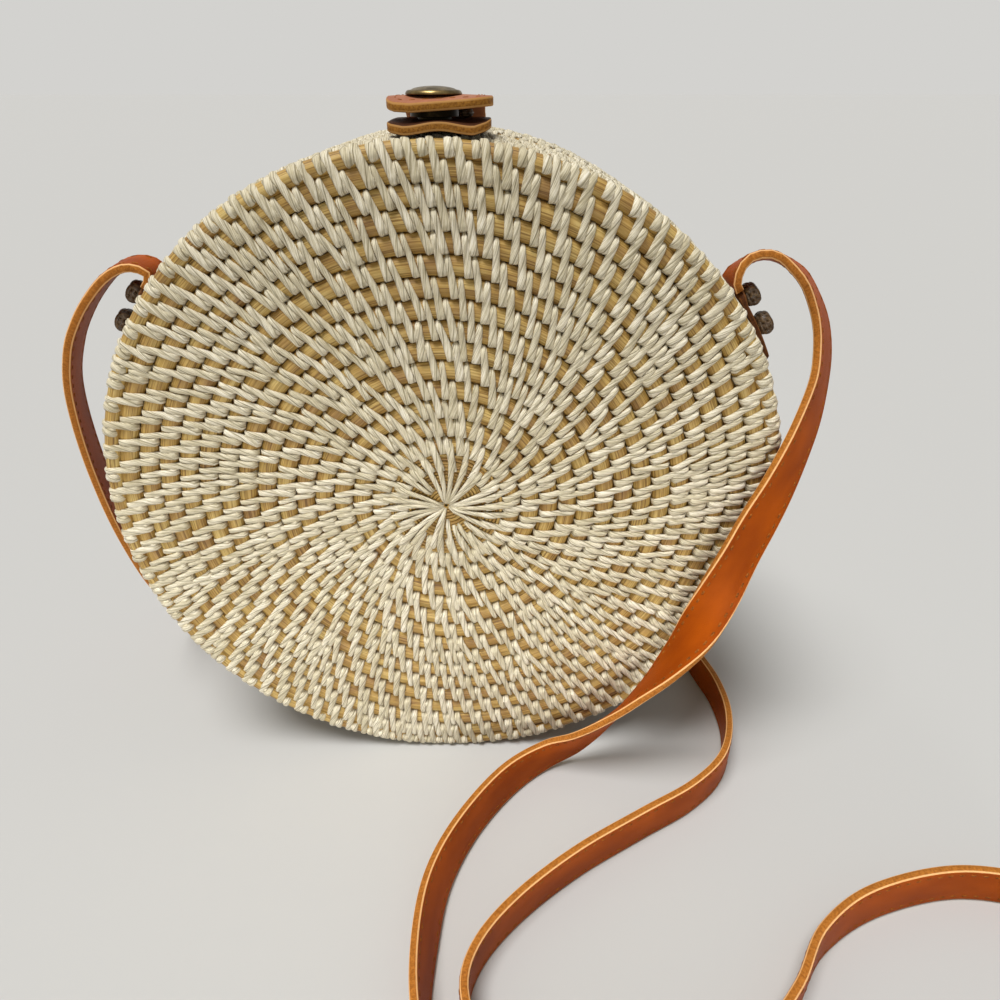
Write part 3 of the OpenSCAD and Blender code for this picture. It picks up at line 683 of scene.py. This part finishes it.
def sew(name, path, pitch, size, shape):
    """Sews a line of stitches along flat points, each half sunk in the leather, and bends it the same way."""
    path = np.array(path)
    way = np.append(0, np.cumsum(np.linalg.norm(np.diff(path, axis=0), axis=1)))
    count = max(1, int(way[-1] // pitch))
    mesh, points = repeat(name, STITCH_BLANK, count)
    middle = ((np.arange(count) + 0.5) * way[-1] / count)[:, None]
    long, wide, high = size
    here = middle + points[:, :, 2] * long / 2
    taper = 1 - 0.45 * points[:, :, 2] ** 4
    near = 0.1 * MM
    x, y = [np.interp(here, way, path[:, i]) for i in (0, 1)]
    dx, dy = [np.interp(here + near, way, path[:, i]) - np.interp(here - near, way, path[:, i])
              for i in (0, 1)]
    norm = np.hypot(dx, dy) + 1e-12
    off = points[:, :, 0] * wide / 2 * taper
    rise = points[:, :, 1] * high / 2 * taper + high * (0.25 - 0.75 * points[:, :, 2] ** 4)
    flat = np.stack([x - off * dy / norm, y + off * dx / norm, path[0, 2] + rise], axis=-1)
    laid = shape(*np.moveaxis(flat.reshape(-1, 3), -1, 0))
    set_points(mesh, laid)
    face_outwards(mesh)
    return mesh


def join_meshes(name, meshes):
    """One mesh of several."""
    bm = bmesh.new()
    for mesh in meshes:
        bm.from_mesh(mesh)
    return to_mesh(name, bm)


def strap_section(share):
    """Outline of the strap's cut at shares of the way round it: flat faces with a sewing groove."""
    angle = share * math.tau
    bulge_x, bulge_z = np.cos(angle), np.sin(angle)
    x = np.sign(bulge_x) * np.abs(bulge_x) ** 0.32 * STRAP_W / 2
    z = np.sign(bulge_z) * np.minimum(np.abs(bulge_z) ** 0.32 * 1.05, 1) * STRAP_T / 2
    groove = 0.22 * MM * np.exp(-((np.abs(x) - SEAM_X) / (0.55 * MM)) ** 2)
    return x, z - np.sign(z) * groove * (np.abs(z) > 0.8 * STRAP_T / 2)


def make_strap(frames, leather, thread):
    """The shoulder strap, edge-stitched on both faces, from one pair of knots round to the other."""
    length = frames.way[-1]
    ring_step = 2.2 * MM
    rings = round(length / ring_step)
    bm = bmesh.new()
    bmesh.ops.create_grid(bm, x_segments=rings, y_segments=STRAP_SECTION_SIDES, size=1)
    mesh = to_mesh("shoulder_strap_leather", bm)
    flat = get_points(mesh)
    along = (flat[:, 0] + 1) / 2 * length
    x, z = strap_section((flat[:, 1] + 1) / 2)
    set_points(mesh, frames.at(along, x, z))
    layer = np.where(np.abs(x) < 0.94 * STRAP_W / 2, np.sign(z), z / (STRAP_T / 2) * 0.8)
    set_attribute(mesh, "hide", np.stack([x / MM, along / MM, layer], axis=1))
    face_outwards(mesh, seal=True)
    strap = finish_piece("shoulder_strap_leather", mesh, leather, "root", ["shoulder_strap"])
    lines = []
    margin, sunk = 3 * MM, 0.3 * MM
    for face in (-1, 1):
        for edge in (-1, 1):
            path = [[edge * SEAM_X, margin, 0], [edge * SEAM_X, length - margin, 0]]

            def on_strap(px, py, pz):
                return frames.at(py, px, face * (STRAP_T / 2 - sunk + pz))
            lines.append(sew("strap_line", path, STITCH_PITCH, STITCH, on_strap))
    stitches = finish_piece("strap_stitches", join_meshes("strap_stitches", lines), thread,
                            "root")
    way = np.linspace(0, length, rings + 1)
    path = frames.at(way, 0 * way, 0 * way)


def make_shells(cord, rush):
    """Both half shells: the coil's rows, and the cord strands that bind each row to the next."""
    blank = cord_blank(8, 7)
    half_t = (COIL_T - WRAP_LIFT) / 2
    core_d = CREST_D - half_t
    wall_r = CREST_R - half_t
    corner_out, wall_out = math.pi / 4, math.pi / 2
    # A row's half width is a little less than half its pitch. The first turns are thin
    fill = 0.496
    thin, thin_turns, thin_start = 0.54 * MM, 15, 0.9 * MM
    for side, body, end in SHELLS:
        rng = np.random.default_rng(17 + side)
        middle_rows = [(thin_start + k * 2.05 * thin, CREST_D - thin_start, thin, thin, 0, 8)
                       for k in range(thin_turns)]
        face_rows = [((ROW_EDGES[k] + ROW_EDGES[k + 1]) / 2, core_d, ROW_W * fill, half_t, 0, 12)
                     for k in range(SPOKE_ROW + 1, FACE_ROWS)]
        wall_rows = [(wall_r, RIM_INNER - (k + 0.5) * WALL_ROW_W, half_t, WALL_ROW_W * fill, wall_out, 12)
                     for k in range(WALL_ROWS - 1)]
        wall_rows.append((wall_r, SEAM_D + WALL_ROW_W * 0.42, half_t, WALL_ROW_W * 0.41, wall_out, 12))
        rim_rows = [(FACE_FLAT, CREST_D - CORNER, CORNER, CORNER, corner_out, 16)]
        for part, rows in (("face", middle_rows + face_rows), ("wall", wall_rows), ("rim", rim_rows)):
            name = f"{end}_{part}_coil"
            finish_piece(name, wind_coil(name, rows, side), rush, body, [f"{end}_{part}"])
        strands = lay_strands(rng)
        rows = strands[:, 0]
        for part, chosen, nodes in (
                ("face", rows < RIM_ROW, [f"{end}_face", f"{end}_wraps"]),
                ("rim", (rows == RIM_ROW) | (rows == RIM_ROW + 1), [f"{end}_rim"]),
                ("wall", rows > RIM_ROW + 1, [f"{end}_wall"])):
            name = f"{end}_{part}_strands"
            mesh = wind_strands(name, blank, strands[chosen], side, rng)
            finish_piece(name, mesh, cord, body, nodes)
        name = f"{end}_spokes"
        mesh = wind_spokes(name, blank, side, rng)
        finish_piece(name, mesh, cord, body, [f"{end}_wraps"])


def on_wall(angle, y, radius):
    """Place on the wall at an angle in degrees from the crown, with Z pointing outwards."""
    return (Matrix.Translation((0, y, AXIS_Z)) @ Matrix.Rotation(math.radians(angle), 4, "Y")
            @ Matrix.Translation((0, 0, radius)))


def tie_knot(bm, place, diameter, height):
    """A woven button knot: three cords side by side, laid round in each of three ways."""
    cord = diameter / 7.4
    spacing = 1.9 * cord
    first = len(bm.verts)
    reach = diameter / 2 - cord
    for axis in ((1, 0, 0), (0, 1, 0), (0, 0, 1)):
        turn = Vector((0, 0, 1)).rotation_difference(Vector(axis)).to_matrix().to_4x4()
        for step in (-1, 0, 1):
            loop_r = math.sqrt(reach ** 2 - (step * spacing) ** 2 * 0.5)
            ring = bmesh.ops.create_circle(bm, segments=8, radius=cord, matrix=(
                turn @ Matrix.Translation((loop_r, 0, step * spacing))
                @ Matrix.Rotation(math.pi / 2, 4, "X")))["verts"]
            edges = list({e for v in ring for e in v.link_edges})
            bmesh.ops.spin(bm, geom=ring + edges, cent=(0, 0, 0), axis=axis, angle=math.tau,
                           steps=20, use_merge=True)
    bm.verts.ensure_lookup_table()
    fit = place @ Matrix.Translation((0, 0, height / 2)) @ Matrix.Diagonal((1, 1, height / diameter, 1))
    bmesh.ops.transform(bm, matrix=fit, verts=bm.verts[first:])


def tie_knots(node, body, reed, places, width, height):
    """The woven knots of one node, as one piece."""
    bm = bmesh.new()
    for place in places:
        tie_knot(bm, place, width, height)
    finish_piece(f"woven_{node}", to_mesh("knots", bm, outwards=True), reed, body, [node])


def make_knots(reed):
    """Woven knots that button the strap, the tab and the flap to the shells."""
    sunk = 0.9 * MM
    for side, end in SIDES:
        low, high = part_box(f"strap_knots_{end}")
        y = (low[1] + high[1]) / 2
        places = [on_wall(side * angle, y, BAG_R + STRAP_T - sunk) for angle in (55.4, 60.6)]
        tie_knots(f"strap_knots_{end}", "root", reed, places, 6.8 * MM, 5.0 * MM)
    for node, body in (("tab_knots", "root"), ("flap_knots", "back_shell")):
        low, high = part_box(node)
        half, height = 2.8 * MM, 2.4 * MM
        rows = (low[1] + half,) if high[1] - low[1] < 3 * half else (low[1] + half, high[1] - half)
        places = [Matrix.Translation((x, y, high[2] - height))
                  for x in (low[0] + half, high[0] - half) for y in rows]
        tie_knots(node, body, reed, places, 2 * half, height)


def make_strap_ends(leather, thread):
    """The strap's two ends, bent to the front wall under their knots."""
    for side, end in SIDES:
        node = f"strap_end_{end}"
        low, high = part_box(node)
        y_middle = (low[1] + high[1]) / 2
        inner_r = BAG_R + 0.1 * MM
        outer_r = inner_r + STRAP_T
        top, foot = math.radians(53), math.radians(65.5)
        length = (foot - top) * outer_r

        def on_shell(px, py, pz):
            # The leather is skived thinner towards its foot
            skived = 1 - 0.45 * np.clip(py / (4 * MM), 0, 1)
            radius = inner_r + (STRAP_T / 2 + pz) * skived
            return np.stack(round_axis(radius, side * (top + py / outer_r), y_middle + px), axis=-1)
        corner_r = 2.2 * MM
        mesh = cut_leather(STRAP_W, length, corner_r, STRAP_T, 10, 16)
        bend(mesh, on_shell)
        finish_piece(f"{node}_leather", mesh, leather, "root", [node])
        lines = [sew("end_line", [[x, 1 * MM, STRAP_T / 2 - 0.1 * MM], [x, length - 3 * MM, 0]],
                     STITCH_PITCH, STITCH, on_shell) for x in (-SEAM_X, SEAM_X)]
        finish_piece(f"{node}_stitches", join_meshes("end_stitches", lines), thread, "root")


def make_flap(leather, thread):
    """The flap is one piece of leather, knotted at the back and free at the front, with a stitched edge."""
    low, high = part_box("closure_flap")
    root_low, root_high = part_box("flap_root")
    thick = root_high[2] - root_low[2]
    width, length = high[0] - low[0], root_high[1] - low[1]
    middle_x = (high[0] + low[0]) / 2
    rise = high[2] - root_high[2]
    ramp_from, ramp_to = high[1], -11 * MM
    crown_h, corner_r = 0.35 * MM, 6 * MM

    def on_closure(px, py, pz):
        y = low[1] + py
        share = np.clip((ramp_from - y) / (ramp_from - ramp_to), 0, 1)
        share = share * share * (3 - 2 * share)
        z = root_low[2] + thick / 2 + rise * share
        crown = crown_h * np.cos(px / width * math.pi)
        # The front edge droops, most at its left corner, and the flap is drawn in towards its back
        side = 2 * px / width
        droop = (0.9 * (1 - side) + 0.45 * (1 - side ** 2)) * MM * np.clip(1 - py / (9 * MM), 0, 1) ** 1.6
        drawn_in = 1 - 0.16 * np.clip((y - ramp_to) / (7 * MM) + 1, 0, 1)
        return np.stack([middle_x + px * drawn_in, y, z + share * crown - droop + pz], axis=-1)
    mesh = cut_leather(width, length, corner_r, thick, 16, 48)
    bend(mesh, on_closure)
    flap = finish_piece("flap_leather", mesh, leather, None, ["closure_flap", "flap_root"])
    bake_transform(flap)
    inset, curve, sunk = 2.2 * MM, 3.8 * MM, 0.17 * MM
    edge = width / 2 - inset
    corner = [(edge - curve + curve * math.cos(a), inset + curve - curve * math.sin(a))
              for a in np.linspace(0, math.pi / 2, 7)]
    top = thick / 2 - sunk
    path = [(edge, length - 8 * MM, top)] + [(x, y, top) for x, y in corner]
    path += [(-x, y, z) for x, y, z in reversed(path)]
    pitch, size = 3.2 * MM, (2.4 * MM, 0.4 * MM, 0.42 * MM)
    stitches = sew("flap_stitches", path, pitch, size, on_closure)
    seam = finish_piece("flap_stitches", stitches, thread)
    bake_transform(seam)


def make_tab(leather):
    """The leather tab between the flap and the front rim."""
    low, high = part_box("front_tab")
    width, length, thick = (high[i] - low[i] for i in range(3))
    middle_x = (high[0] + low[0]) / 2
    front_l, wave_h, pressed, corner_r = 14 * MM, 0.5 * MM, 0.6 * MM, 4 * MM

    def on_tab(px, py, pz):
        # The front edge waves, turns up at its corners and is pressed down to the rim
        front = np.clip(1 - py / front_l, 0, 1)
        share = 2 * px / width
        wave = wave_h * np.cos(share / 0.7 * math.pi) + (0.9 + 0.5 * share) * MM * share ** 6
        z = low[2] + thick / 2 + front * (wave - pressed) + pz
        return np.stack([middle_x + px, low[1] + py, z], axis=-1)
    mesh = cut_leather(width, length, corner_r, thick, 20, 24)
    bend(mesh, on_tab)
    finish_piece("tab_leather", mesh, leather, "root", ["front_tab"])


def make_snap(brass, near_black_shaded_brass):
    """Press stud: a domed cap on the flap, and the CAD socket, stud and post in near-black brass, painted
    shade.
    """
    low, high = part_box("snap_cap")
    flap_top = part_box("closure_flap")[1][2]
    cap_r = (high[0] - low[0]) / 2
    centre = Vector(((low[0] + high[0]) / 2, (low[1] + high[1]) / 2, flap_top))
    dome_h, skirt_h, raised = high[2] - flap_top, 0.4 * MM, 0.35 * MM
    bm = bmesh.new()
    bmesh.ops.create_uvsphere(bm, u_segments=48, v_segments=20, radius=1)
    # A rolled bead runs round the edge, with a shallow groove inside it
    bead_r, bead_h, groove_r, groove_h, soft = 0.93, 0.10, 0.8, 0.06, 0.05
    for vert in bm.verts:
        reach = math.hypot(vert.co.x, vert.co.y)
        bead = (bead_h * math.exp(-((reach - bead_r) / soft) ** 2)
                - groove_h * math.exp(-((reach - groove_r) / soft) ** 2))
        level = (vert.co.z + bead) * dome_h if vert.co.z > 0 else vert.co.z * skirt_h
        vert.co = Vector((vert.co.x * cap_r, vert.co.y * cap_r, level + raised))
    bmesh.ops.translate(bm, verts=bm.verts, vec=centre)
    finish_piece("brass_cap", to_mesh("brass_cap", bm), brass, "flap", ["snap_cap"])
    for node in ("snap_socket", "snap_stud", "snap_post"):
        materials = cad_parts[node].data.materials
        materials.clear()
        materials.append(near_black_shaded_brass)


def make_linings(cotton):
    """Cotton linings: a disc and a band in each shell, and the two pleated side gussets."""
    for side, body, end in SHELLS:
        low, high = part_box(f"{end}_lining")
        outer_r = (high[0] - low[0]) / 2
        hem = min(abs(low[1]), abs(high[1]))
        floor_d = max(abs(low[1]), abs(high[1]))
        inner_r, disc_d, band_d = outer_r - LINING_T, floor_d - LINING_T, floor_d - 1.5 * LINING_T
        for part, corners in (
                ("disc", [(0, disc_d), (inner_r, disc_d), (inner_r, floor_d), (0, floor_d)]),
                ("band", [(inner_r, band_d), (inner_r, hem), (outer_r, hem), (outer_r, band_d)])):
            bm = bmesh.new()
            verts = [bm.verts.new((r, side * d, AXIS_Z)) for r, d in corners]
            edges = [bm.edges.new((verts[i], verts[i + 1])) for i in range(3)]
            if part == "band":
                edges.append(bm.edges.new((verts[3], verts[0])))
            bmesh.ops.subdivide_edges(bm, edges=[edges[0], edges[2]], cuts=9)
            bmesh.ops.spin(bm, geom=bm.verts[:] + bm.edges[:], cent=(0, 0, AXIS_Z), axis=(0, 1, 0),
                           angle=math.tau, steps=120, use_merge=True)
            bmesh.ops.remove_doubles(bm, verts=bm.verts, dist=MERGE)
            name = f"{end}_lining_{part}"
            mesh = to_mesh(name, bm, outwards=True)
            sheet = finish_piece(name, mesh, cotton, body, [f"{end}_lining"])
    for side, end in SIDES:
        make_gusset(cotton, side, end)


def make_gusset(cotton, side, end):
    """Side gusset: a band of cloth in one soft pleat, joined to both linings."""
    low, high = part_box("front_lining")
    lining_r = (high[0] - low[0]) / 2
    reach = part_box(f"gusset_{end}")[1][1]
    deep, gap, ripple_h, ripples = 23 * MM, 0.6 * MM, 0.7 * MM, 17
    start, stop = math.radians(80.5), math.radians(147.5)
    bm = bmesh.new()
    bmesh.ops.create_grid(bm, x_segments=26, y_segments=28, size=1)
    for vert in bm.verts:
        u, v = vert.co.x, (vert.co.y + 1) / 2
        turn = start + (stop - start) * v
        fold = 1 - math.sqrt(u * u + 0.006)
        ripple = ripple_h * math.sin(ripples * v) * fold
        radius = lining_r - gap - deep * max(fold, 0)
        vert.co = Vector((side * radius * math.sin(turn), u * (reach - 0.3 * MM) + ripple,
                          AXIS_Z + radius * math.cos(turn)))
    bmesh.ops.recalc_face_normals(bm, faces=bm.faces)
    bmesh.ops.solidify(bm, geom=bm.faces[:], thickness=LINING_T)
    gusset = finish_piece(f"{end}_gusset_cloth", to_mesh("gusset", bm, outwards=True), cotton,
                          None, [f"gusset_{end}"])
    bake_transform(gusset)


def make_ties(reed):
    """Hinge ties at the foot: cord loops through both walls that the shells swing on."""
    blank = cord_blank(8, 27, closed=False)
    cord, clear = 0.62 * MM, 1.1 * MM
    out_r, in_r = BAG_R + clear, BAG_R - COIL_T - clear
    half_y = 4.6 * MM
    loops = []
    for angle in (150, 162, -150, -162):
        for shift in (-0.55, 0.55):
            mesh, points = repeat("tie", blank, 1)
            across, up, way = points[0].T
            sine, cosine = np.sin(way * math.pi), np.cos(way * math.pi)
            y = np.sign(sine) * np.abs(sine) ** 0.5 * half_y + sine * up * cord
            reach = (out_r + in_r) / 2 + np.sign(cosine) * np.abs(cosine) ** 0.5 * (out_r - in_r) / 2
            sideways = across * cord + shift * 2 * cord * 0.9
            reach = reach + cosine * up * cord
            set_points(mesh, np.stack(round_axis(reach, math.radians(angle), y, sideways), axis=1))
            loops.append(mesh)
    mesh = join_meshes("hinge_tie_cords", loops)
    face_outwards(mesh, seal=True)
    ties = finish_piece("hinge_tie_cords", mesh, reed, None, ["hinge_ties"])
    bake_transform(ties)


def hang_lamp(name, kind, way, **settings):
    """A lamp that shines along a direction."""
    lamp = bpy.data.lights.new(name, kind)
    for setting, value in settings.items():
        setattr(lamp, setting, value)
    obj = new_object(name, lamp)
    obj.rotation_euler = Vector(way).to_track_quat("-Z", "Y").to_euler()
    return obj


def set_stage():
    """A plain pale floor, a soft sun before and above the bag, a low fill before it and a pale surround."""
    pale = colour("#D3D2CF")
    bm = bmesh.new()
    bmesh.ops.create_grid(bm, x_segments=1, y_segments=1, size=30)
    material, tree, shader = start_material("painted_board")
    connect(tree, shader, {"Base Color": colour("#C2C1BE"), "Roughness": 0.9, "Specular IOR Level": 0.1})
    floor = new_object("floor", to_mesh("floor", bm))
    floor.data.materials.append(material)
    hang_lamp("soft_sun", "SUN", (0.3, 0.34, -1.28), energy=3.0, angle=math.radians(28))
    fill = hang_lamp("low_fill", "AREA", (0, 1, 0), energy=0.11, shape="RECTANGLE", size=500 * MM,
                     size_y=60 * MM, spread=math.radians(37))
    fill.location = (0, -460 * MM, 55 * MM)
    fill.visible_camera = False
    world = bpy.data.worlds.new("surround")
    world.use_nodes = True
    tree = world.node_tree
    tree.nodes.clear()
    rays = add(tree, "LightPath")
    seen = add(tree, "Math", {0: rays["Is Camera Ray"], 1: rays["Is Glossy Ray"]}, operation="ADD")[0]
    seen = add(tree, "Math", {0: seen, 1: rays["Is Transmission Ray"]}, operation="ADD", use_clamp=True)[0]
    strength = add(tree, "MapRange", {0: seen, 1: 0.0, 2: 1.0, 3: 0.45, 4: 1.0})[0]
    glow = add(tree, "Background", {"Color": pale, "Strength": strength})[0]
    add(tree, "OutputWorld", {"Surface": glow})
    bpy.context.scene.world = world
    bpy.context.scene.view_settings.view_transform = "Standard"


aim_camera()
set_stage()
STITCH_BLANK = cord_blank(6, 3)
THREAD = waxed_thread()
REED = smoked_reed()
make_strap(StrapFrames(), tan_leather(), THREAD)
# The strap ends get a darker copy of the strap's leather: painted shade, as they lie in the knots' shadow
make_strap_ends(tan_leather("shaded_strap_end_leather", "#6E3A18", "#54290E", "#5E3518", "#3E220E", "#6A4322"),
                THREAD)
make_shells(bleached_cord(), bare_rush())
make_knots(REED)
# The flap's pinkish-brown face colours carry a painted sheen: the gloss of its top is painted into the brown
make_flap(tan_leather("flap_leather", "#B4785A", "#9C6246", "#A9752E", "#7A4C1C", "#BC8A4E"), THREAD)
make_tab(tan_leather("oiled_leather", "#4E2C1A", "#351C10", "#A26E2C", "#6E4318", "#AE8048"))
# The socket, stud and post get a near-black copy of the brass: painted shade under the flap
make_snap(antique_brass(), antique_brass("shaded_brass", "#141009", "#1E180E", "#3A2E1A"))
make_linings(lining_cotton())
make_ties(REED)
